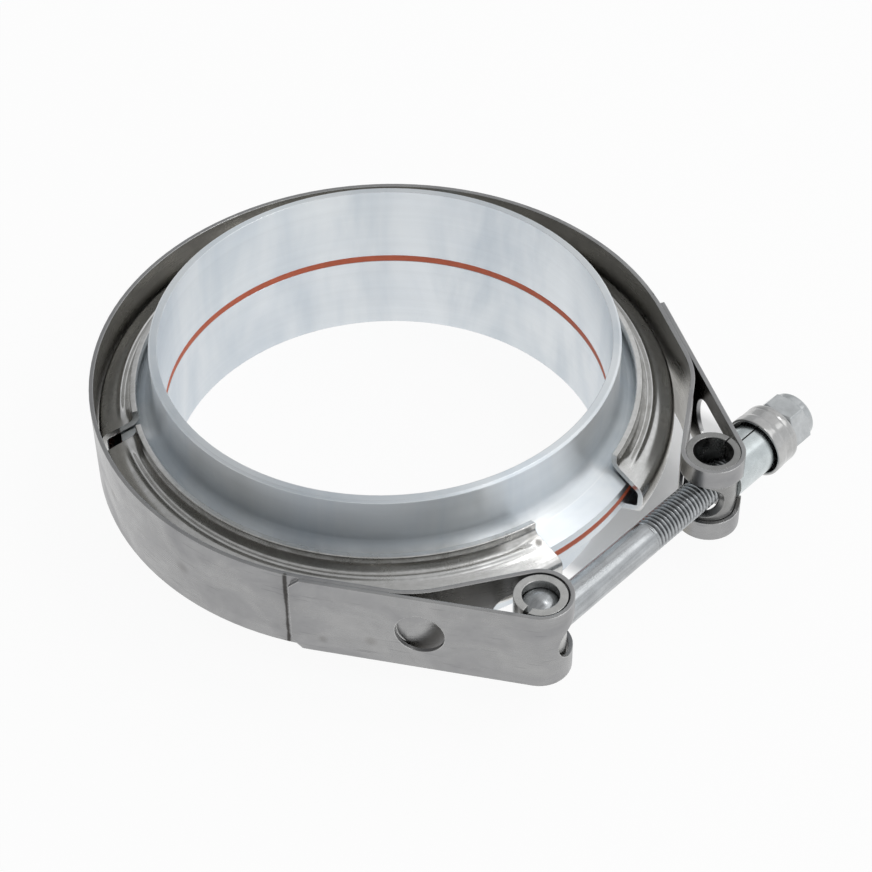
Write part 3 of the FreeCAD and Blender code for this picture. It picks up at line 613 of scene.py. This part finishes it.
    def ramp(self, value, *stops):
        """Grey levels or colours at positions from 0 to 1."""
        node = self.add("ShaderNodeValToRGB")
        elements = node.color_ramp.elements
        while len(elements) < len(stops):
            elements.new(0.5)
        for element, (position, colour) in zip(elements, stops):
            element.position = position
            shade = colour if isinstance(colour, tuple) else (colour,) * 3
            element.color = (*shade, 1.0)
        self.link(value, node.inputs[0])
        return node.outputs[0]

    def mix(self, kind, amount, first, second):
        node = self.add("ShaderNodeMix", data_type="RGBA", blend_type=kind)
        for index, value in ((0, amount), (6, first), (7, second)):
            self.feed(node.inputs[index], value)
        return node.outputs[2]

    def times(self, shade, second):
        """One colour multiplied by another at full strength."""
        return self.mix("MULTIPLY", 1.0, shade, second)

    def bump(self, height, distance, strength, below):
        node = self.add("ShaderNodeBump")
        node.inputs["Strength"].default_value = strength
        node.inputs["Distance"].default_value = distance
        self.link(height, node.inputs["Height"])
        self.link(below, node.inputs["Normal"])
        return node.outputs[0]

    def edge(self, radius):
        """The normal with the edges rounded."""
        node = self.add("ShaderNodeBevel", samples=BEVEL_SAMPLES)
        node.inputs["Radius"].default_value = radius
        return node.outputs[0]

    def drawn_out(self, amount):
        """Marks round the Z axis, which stretch each reflection across them."""
        tangent = self.add("ShaderNodeTangent", direction_type="RADIAL", axis="Z")
        self.link(tangent.outputs[0], self.shader.inputs["Tangent"])
        self.shader.inputs["Anisotropic"].default_value = amount
        self.shader.inputs["Anisotropic Rotation"].default_value = QUARTER_TURN

    def finish(self, colour, roughness, normal, metallic=1.0):
        self.link(colour, self.shader.inputs["Base Color"])
        self.link(roughness, self.shader.inputs["Roughness"])
        self.link(normal, self.shader.inputs["Normal"])
        self.shader.inputs["Metallic"].default_value = metallic
        return self.material


# ---------------------------------------------------------------- materials

# Spots on the strap: x, y, z and radius in millimetres. Welds press it in and darken it. At the
# tips of the slots in its lead-ins (x, y and radius) a painted shadow stands, with a painted shade
# beside it.
WELDS = ((-48.4, -30.6, -5.4, 1.1), (-43.9, -38.1, -3.8, 1.5),
         (48.4, -30.6, -4.6, 1.5), (45.6, -35.2, 4.2, 1.5),
         (-52.9, 19.3, 0.5, 1.7), (-56.2, -3.0, -0.6, 1.7), (-32.3, 46.1, 0.4, 1.7),
         (0.0, 56.3, -0.3, 1.7), (33.1, 45.5, 0.5, 1.7), (53.5, 17.5, -0.4, 1.7))
TIP_SHADOWS = ((-50.85, -24.3, 0.42), (50.85, -24.3, 0.42))
HEAD_WARM_REFLECTION = (-28.0, -40.0, 7.0)    # a painted warm reflection of the segment lip on the lower tube of the flange, T-head side
DIMPLE = (-12.0, -49.2, 4.5)        # painted shade of a small dimple near the left segment's end


def turned_metal(name, colour, low_rough, high_rough, groove, edge_radius):
    """Bright machined metal: fine turning marks round the axis and soft hand smears, with a painted
    warm reflection, a painted highlight along a crease, and edge wear with a painted highlight.
    """
    m = Maker(name)
    marks = m.lathe(1.0, 0.0004)
    fine = m.noise(marks, 9000.0, 2.0)
    wide = m.noise(marks, 700.0, 3.0)
    smear = m.noise(m.scaled(62.0, 62.0, 18.0), 1.0, 4.0, 0.6, 0.5)
    m.drawn_out(0.8)
    blotch = m.noise(m.place, 26.0, 3.0, distortion=0.6)
    shade = m.times(colour, m.ramp(wide, (0.25, 0.955), (0.75, 1.0)))
    shade = m.times(shade, m.ramp(smear, (0.34, (0.86, 0.89, 0.92)), (0.60, (1.0, 1.0, 1.0))))
    shade = m.times(shade, m.ramp(blotch, (0.3, (0.93, 0.94, 0.96)), (0.7, 1.0)))
    # Painted reflection: a warm brownish tint, mottled by the smears, on the flange's lower tube
    # near the T-head.
    warm = m.maths("MULTIPLY", m.ring(45.3, 0.7, 47.2, 0.3), m.span(smear, 0.42, 0.60, 0.85, 0.15))
    near_head = m.span(m.distance(*(length * MM for length in HEAD_WARM_REFLECTION)),
                       12.0 * MM, 36.0 * MM, 1.0, 0.0)
    shade = m.mix("MULTIPLY", m.maths("MULTIPLY", warm, near_head), shade, (0.82, 0.76, 0.69))
    # Painted highlight: a light line along a crease in the flange face.
    crease_highlight = m.maths("MULTIPLY", m.ring(47.15, 0.05, 47.35, 0.05), 0.35)
    shade = m.mix("MIX", crease_highlight, shade, (0.95, 0.97, 0.98))
    rough = m.maths("ADD", m.span(smear, 0.3, 0.7, high_rough, low_rough),
                    m.span(fine, 0.3, 0.7, -0.02, 0.04))
    rounded_edge = m.edge(edge_radius)
    edges = m.edge_wear_and_highlight(rounded_edge)
    # Edge wear with a painted highlight: the edges lightened towards near white.
    shade = m.mix("MIX", m.maths("MULTIPLY", edges, 0.6), shade, (0.93, 0.95, 0.96))
    rough = m.maths("SUBTRACT", rough, m.maths("MULTIPLY", edges, 0.15))
    normal = m.bump(fine, groove, 0.6, rounded_edge)
    normal = m.bump(wide, groove * 4, 0.4, normal)
    return m.finish(shade, rough, normal)


def pressed_metal(name, colour, low_rough, high_rough, edge_radius):
    """Rolled and pressed sheet: mottled and drawn along the arc, with a painted brownish shade in
    the valley beside the lip and a painted shade in a small dimple.
    """
    m = Maker(name)
    marks = m.lathe(1.0, 0.012)
    drawn = m.noise(marks, 2600.0, 3.0, 0.6)
    m.drawn_out(0.4)
    mottle = m.noise(m.place, 520.0, 4.0, 0.65)
    cloud = m.noise(m.place, 85.0, 4.0, 0.6, 0.6)
    shade = m.times(colour, m.ramp(drawn, (0.3, 0.90), (0.7, 1.0)))
    shade = m.times(shade, m.ramp(mottle, (0.3, (0.88, 0.88, 0.87)), (0.66, 1.0)))
    shade = m.times(shade, m.ramp(cloud, (0.3, (0.88, 0.88, 0.875)), (0.62, 1.0)))
    # Painted shade, brownish and mottled, in the valley between the lip and the ridge.
    valley_shade = m.maths("MULTIPLY", m.ring(48.4, 0.5, 49.9, 0.5),
                      m.span(mottle, 0.35, 0.6, 0.65, 0.3))
    shade = m.mix("MULTIPLY", valley_shade, shade, (0.68, 0.665, 0.64))
    # Painted shade: a dark spot where the small dimple lies.
    reach = m.distance(*(length * MM for length in DIMPLE))
    dimple_shade = m.span(reach, 0.4 * MM, 1.0 * MM, 1.0, 0.0)
    shade = m.mix("MULTIPLY", dimple_shade, shade, (0.30, 0.29, 0.28))
    rough = m.maths("ADD", m.span(cloud, 0.3, 0.7, high_rough, low_rough),
                    m.span(mottle, 0.3, 0.7, 0.04, -0.03))
    normal = m.bump(drawn, 0.000005, 0.5, m.edge(edge_radius))
    normal = m.bump(mottle, 0.000012, 0.5, normal)
    return m.finish(shade, rough, normal)


def rolled_metal(name, colour, low_rough, high_rough, edge_radius):
    """Strip steel whose grain runs along the strap, with scratches, smears and weld marks, painted
    shadows at the slot tips, painted shade on its inner faces, and edge wear with a painted
    highlight.
    """
    m = Maker(name)
    m.drawn_out(0.5)
    grain = m.noise(m.scaled(40.0, 40.0, 4200.0), 1.0, 3.0, 0.6)
    streak = m.noise(m.scaled(22.0, 22.0, 420.0), 1.0, 3.0, 0.6)
    smear = m.noise(m.scaled(70.0, 70.0, 95.0), 1.0, 4.0, 0.62, 0.8)
    dapple = m.noise(m.place, 420.0, 3.0, 0.6)
    wander = m.noise(m.scaled(120.0, 120.0, 560.0), 1.6, 2.0, 0.5, 1.1)
    scratch = m.ramp(wander, (0.492, 0.0), (0.5, 1.0), (0.508, 0.0))
    patch = m.span(m.noise(m.place, 90.0, 2.0), 0.48, 0.62, 0.0, 1.0)
    scratch = m.maths("MULTIPLY", scratch, patch)
    long_marks = m.noise(m.scaled(150.0, 150.0, 2400.0), 1.0, 1.0, 0.4)
    dark_line = m.ramp(long_marks, (0.69, 0.0), (0.72, 1.0))
    shade = m.times(colour, m.ramp(grain, (0.25, 0.955), (0.75, 1.0)))
    shade = m.times(shade, m.ramp(streak, (0.3, 0.94), (0.7, 1.0)))
    shade = m.times(shade, m.ramp(smear, (0.3, (0.80, 0.80, 0.81)), (0.68, (1.0, 1.0, 0.985))))
    shade = m.times(shade, m.ramp(dapple, (0.35, 0.95), (0.65, 1.0)))
    shade = m.mix("MULTIPLY", m.maths("MULTIPLY", dark_line, 0.4), shade, (0.62, 0.62, 0.63))
    height = m.maths("MULTIPLY", dapple, 0.35)
    for x, y, z, size in WELDS:
        reach = m.distance(x * MM, y * MM, z * MM)
        ring = m.span(reach, 0.25 * size * MM, size * MM, 1.0, 0.0)
        shade = m.mix("MULTIPLY", m.maths("MULTIPLY", ring, 0.55), shade, (0.66, 0.64, 0.62))
        height = m.maths("SUBTRACT", height, m.maths("MULTIPLY", ring, 0.8))
    for x, y, size in TIP_SHADOWS:
        # Painted shadow, ragged, along the step at each tip, and a wider painted shade beside it.
        ragged = m.span(dapple, 0.3, 0.7, -0.4 * size * MM, 0.4 * size * MM)
        reach = m.maths("ADD", m.from_upright(x * MM, y * MM), ragged)
        near = m.span(reach, 0.3 * size * MM, size * MM, 1.0, 0.0)
        shade = m.mix("MULTIPLY", near, shade, (0.22, 0.21, 0.20))
        beside = m.span(reach, size * MM, 3.2 * MM, 1.0, 0.0)
        shade = m.mix("MULTIPLY", m.maths("MULTIPLY", beside, 0.35), shade, (0.72, 0.72, 0.72))
    rough = m.maths("ADD", m.span(smear, 0.3, 0.7, high_rough, low_rough),
                    m.span(grain, 0.3, 0.7, -0.03, 0.04))
    rough = m.maths("ADD", rough, m.maths("MULTIPLY", scratch, 0.10))
    # Painted shade, warm-tinted, on the faces that look towards the pipe.
    shade = m.mix("MULTIPLY", m.facing_in(), shade, (0.80, 0.77, 0.70))
    rounded_edge = m.edge(edge_radius)
    edges = m.edge_wear_and_highlight(rounded_edge)
    # Edge wear with a painted highlight: the edges lightened.
    shade = m.mix("MIX", m.maths("MULTIPLY", edges, 0.6), shade, (0.74, 0.74, 0.73))
    rough = m.maths("SUBTRACT", rough, m.maths("MULTIPLY", edges, 0.10))
    normal = m.bump(grain, 0.000005, 0.6, rounded_edge)
    normal = m.bump(height, 0.00005, 0.35, normal)
    normal = m.bump(scratch, 0.000008, 0.5, normal)
    return m.finish(shade, rough, normal)


def forged_metal(name, colour, low_rough, high_rough, pit, edge_radius, threaded=False):
    """Plated or tumbled small parts: soft mottling and shallow pits, painted shade in the thread
    roots, and edge wear with a painted highlight.
    """
    m = Maker(name)
    cloud = m.noise(m.place, 240.0, 4.0, 0.6)
    spot = m.noise(m.place, 900.0, 3.0, 0.6)
    grit = m.noise(m.place, 3000.0, 2.0, 0.6)
    shade = m.times(colour, m.ramp(cloud, (0.3, (0.80, 0.80, 0.80)), (0.68, 1.0)))
    shade = m.times(shade, m.ramp(spot, (0.32, 0.93), (0.6, 1.0)))
    rounded_edge = m.edge(edge_radius)
    edges = m.edge_wear_and_highlight(rounded_edge)
    # Edge wear with a painted highlight: the edges lightened to a brighter copy of the colour.
    bright = tuple(min(level * 1.3, 0.85) for level in colour)
    shade = m.mix("MIX", m.maths("MULTIPLY", edges, 0.7), shade, bright)
    if threaded:
        drawn = m.noise(m.scaled(45.0, 1300.0, 1300.0), 1.0, 2.0)
        shade = m.times(shade, m.ramp(drawn, (0.36, 0.78), (0.60, 1.0)))
        # Painted shade in the roots of the thread.
        shade = m.mix("MULTIPLY", m.thread_root_shade(), shade, (0.34, 0.34, 0.34))
    rough = m.maths("ADD", m.span(cloud, 0.3, 0.7, high_rough, low_rough),
                    m.span(spot, 0.3, 0.7, 0.03, -0.02))
    normal = m.bump(spot, pit * 2, 0.3, rounded_edge)
    normal = m.bump(grit, pit, 0.35, normal)
    return m.finish(shade, rough, normal)


def moulded(name, colour):
    """Matt rubber or plastic: fine grain and a soft variation of tone."""
    m = Maker(name)
    cloud = m.noise(m.place, 300.0, 3.0)
    grit = m.noise(m.place, 5200.0, 2.0)
    shade = m.times(colour, m.ramp(cloud, (0.3, (0.86, 0.82, 0.80)), (0.7, 1.0)))
    normal = m.bump(grit, 0.00002, 0.6, m.edge(0.0001))
    return m.finish(shade, m.span(grit, 0.3, 0.7, 0.52, 0.66), normal, metallic=0.0)


flange_metal = turned_metal("turned_flange", (0.86, 0.895, 0.915), 0.34, 0.46, 0.000003, 0.00022)
segment_metal = pressed_metal("pressed_segment", (0.77, 0.77, 0.765), 0.16, 0.29, 0.00015)
strap_metal = rolled_metal("brushed_strap", (0.40, 0.40, 0.405), 0.22, 0.36, 0.0003)
ring_metal = forged_metal("head_tube_finish", (0.55, 0.55, 0.54), 0.20, 0.32, 0.000004, 0.00022)
trunnion_metal = forged_metal("trunnion_finish", (0.32, 0.32, 0.315), 0.22, 0.34, 0.000004, 0.0003)
bolt_metal = forged_metal("bolt_finish", (0.54, 0.56, 0.575), 0.18, 0.30, 0.000003, 0.00008,
                          threaded=True)
cup_metal = forged_metal("cup_finish", (0.54, 0.54, 0.535), 0.15, 0.24, 0.000002, 0.00015)
sleeve_metal = forged_metal("sleeve_finish", (0.66, 0.71, 0.72), 0.20, 0.30, 0.000002, 0.00015)
nut_metal = forged_metal("nut_finish", (0.57, 0.59, 0.60), 0.12, 0.20, 0.000001, 0.00028)
gasket_rubber = moulded("red_silicone", (0.64, 0.145, 0.068))
nylon = moulded("nylon_ring", (0.62, 0.60, 0.56))

CARRIED_OVER = {
    "upper_flange": flange_metal, "lower_flange": flange_metal,
    "band_strap": strap_metal,
    "head_tube": ring_metal, "trunnion_tube": trunnion_metal,
    "spacer_sleeve": sleeve_metal,
    "nylon_insert": nylon,
}
for node, material in CARRIED_OVER.items():
    NODES[node].data.materials.clear()
    NODES[node].data.materials.append(material)
for piece, material in ((t_bolt, bolt_metal), (lock_nut, nut_metal), (cup_washer, cup_metal),
                        (gasket_ring, gasket_rubber),
                        *((segment, segment_metal) for segment in segments)):
    piece.data.materials.append(material)


# ---------------------------------------------------------------- floor, light and camera

FLOOR_SIZE = 3.0
FLOOR_GREY = 0.96
FLOOR_GLOW = 0.93           # how much of the floor's white doesn't depend on the light
SHADED_GLOW = 0.12          # the same on the patch between the flanges and the T-bolt
PATCH_AT = (28.0 * MM, -41.0 * MM)
PATCH_REACH, PATCH_END = 24.0 * MM, 27.0 * MM
PATCH_FRONT, PATCH_BACK = -49.0 * MM, -46.5 * MM
TUBE_INSIDE, TUBE_OUTSIDE = 43.4 * MM, 44.4 * MM


def floor():
    """A white sweep that keeps its full shadow only between the flanges and the T-bolt."""
    mesh = bmesh.new()
    bmesh.ops.create_grid(mesh, x_segments=2, y_segments=2, size=FLOOR_SIZE)
    data = bpy.data.meshes.new("floor")
    mesh.to_mesh(data)
    mesh.free()
    plane = bpy.data.objects.new("floor", data)
    plane.location = (0, 0, cad_low[2])
    bpy.context.scene.collection.objects.link(plane)
    plane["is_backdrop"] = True
    m = Maker("pale_floor")
    m.shader.inputs["Base Color"].default_value = (FLOOR_GREY, FLOOR_GREY, FLOOR_GREY, 1.0)
    m.shader.inputs["Roughness"].default_value = 0.9
    glow = m.add("ShaderNodeEmission")
    glow.inputs["Strength"].default_value = 1.0
    mixer = m.add("ShaderNodeMixShader")
    path = m.add("ShaderNodeLightPath")
    mirrored = m.maths("MAXIMUM", path.outputs["Is Glossy Ray"],
                       path.outputs["Is Transmission Ray"])
    inside = m.span(m.from_upright(0.0, 0.0), TUBE_INSIDE, TUBE_OUTSIDE, FLOOR_GLOW, SHADED_GLOW)
    in_front = m.span(m.coordinate("Y"), PATCH_FRONT, PATCH_BACK, FLOOR_GLOW, SHADED_GLOW)
    beside = m.span(m.from_upright(*PATCH_AT), PATCH_REACH, PATCH_END, SHADED_GLOW, FLOOR_GLOW)
    glow_here = m.maths("MAXIMUM", beside, m.maths("MAXIMUM", inside, in_front))
    glow_here = m.maths("MULTIPLY", path.outputs["Is Camera Ray"], glow_here)
    m.link(m.maths("MAXIMUM", glow_here, m.maths("MULTIPLY", mirrored, FLOOR_GLOW)),
           mixer.inputs[0])
    m.link(m.shader.outputs[0], mixer.inputs[1])
    m.link(glow.outputs[0], mixer.inputs[2])
    m.link(mixer.outputs[0], m.out.inputs["Surface"])
    data.materials.append(m.material)


def world():
    """A white sweep at the horizon, a dimmer ceiling, and the bolt's side the brighter."""
    sky = bpy.data.worlds.new("studio")
    bpy.context.scene.world = sky
    sky.use_nodes = True
    tree = sky.node_tree
    tree.nodes.clear()
    out = tree.nodes.new("ShaderNodeOutputWorld")
    place = tree.nodes.new("ShaderNodeTexCoord")
    parts = tree.nodes.new("ShaderNodeSeparateXYZ")
    height = tree.nodes.new("ShaderNodeValToRGB")
    stops = height.color_ramp.elements
    stops[0].position, stops[0].color = 0.0, (0.96, 0.97, 0.98, 1)
    stops[1].position, stops[1].color = 1.0, (0.62, 0.62, 0.62, 1)
    stops.new(0.45).color = (0.84, 0.85, 0.86, 1)
    side = tree.nodes.new("ShaderNodeVectorMath")
    side.operation = "DOT_PRODUCT"
    side.inputs[1].default_value = (0.55, -0.75, 0.10)
    strength = tree.nodes.new("ShaderNodeMapRange")
    for name, value in (("From Min", -0.45), ("From Max", 0.75),
                        ("To Min", 0.58), ("To Max", 1.00)):
        strength.inputs[name].default_value = value
    studio = tree.nodes.new("ShaderNodeBackground")
    white = tree.nodes.new("ShaderNodeBackground")
    white.inputs["Color"].default_value = (1, 1, 1, 1)
    mixer = tree.nodes.new("ShaderNodeMixShader")
    path = tree.nodes.new("ShaderNodeLightPath")
    tree.links.new(place.outputs["Generated"], parts.inputs[0])
    tree.links.new(place.outputs["Generated"], side.inputs[0])
    tree.links.new(parts.outputs["Z"], height.inputs[0])
    tree.links.new(side.outputs["Value"], strength.inputs["Value"])
    tree.links.new(height.outputs[0], studio.inputs["Color"])
    tree.links.new(strength.outputs[0], studio.inputs["Strength"])
    tree.links.new(path.outputs["Is Camera Ray"], mixer.inputs[0])
    tree.links.new(studio.outputs[0], mixer.inputs[1])
    tree.links.new(white.outputs[0], mixer.inputs[2])
    tree.links.new(mixer.outputs[0], out.inputs["Surface"])


def lamp(name, place, target, size, power):
    """A rectangular panel that faces its target; size in metres, power in watts."""
    data = bpy.data.lights.new(name, "AREA")
    data.shape = "RECTANGLE"
    data.size, data.size_y = size
    data.energy = power
    light = bpy.data.objects.new(name, data)
    light.location = place
    light.rotation_euler = (Vector(target) - Vector(place)).to_track_quat("-Z", "Y").to_euler()
    bpy.context.scene.collection.objects.link(light)


CAMERA_AT = (-0.232565, -0.233211, 0.307866)
CAMERA_BACK = (-0.52240, -0.49487, 0.69440)
CAMERA_ROLL = math.radians(-0.645)
SENSOR, LENS = 36.0, 96.414


def camera():
    """The view from above the T-head, with a small roll."""
    data = bpy.data.cameras.new("camera")
    data.sensor_width = SENSOR
    data.lens = LENS
    data.clip_start = 0.01
    data.clip_end = 20.0
    view = bpy.data.objects.new("camera", data)
    back = Vector(CAMERA_BACK).normalized()
    right = Vector((0, 0, 1)).cross(back).normalized()
    up = back.cross(right)
    turned_right = right * math.cos(CAMERA_ROLL) + up * math.sin(CAMERA_ROLL)
    turned_up = up * math.cos(CAMERA_ROLL) - right * math.sin(CAMERA_ROLL)
    basis = Matrix((turned_right, turned_up, back)).transposed().to_4x4()
    view.matrix_world = Matrix.Translation(CAMERA_AT) @ basis
    bpy.context.scene.collection.objects.link(view)
    bpy.context.scene.camera = view


floor()
world()
lamp("key", (0.20, -0.44, 0.56), (0, -0.03, 0), (0.72, 0.28), 0.52)
lamp("fill", (0.40, 0.10, 0.60), (0, 0, 0), (0.60, 0.60), 0.25)
lamp("streak", (0.25, -0.18, 0.64), (-0.014, -0.05, 0.006), (0.16, 0.09), 0.24)
camera()
bpy.context.scene.view_settings.view_transform = "Standard"
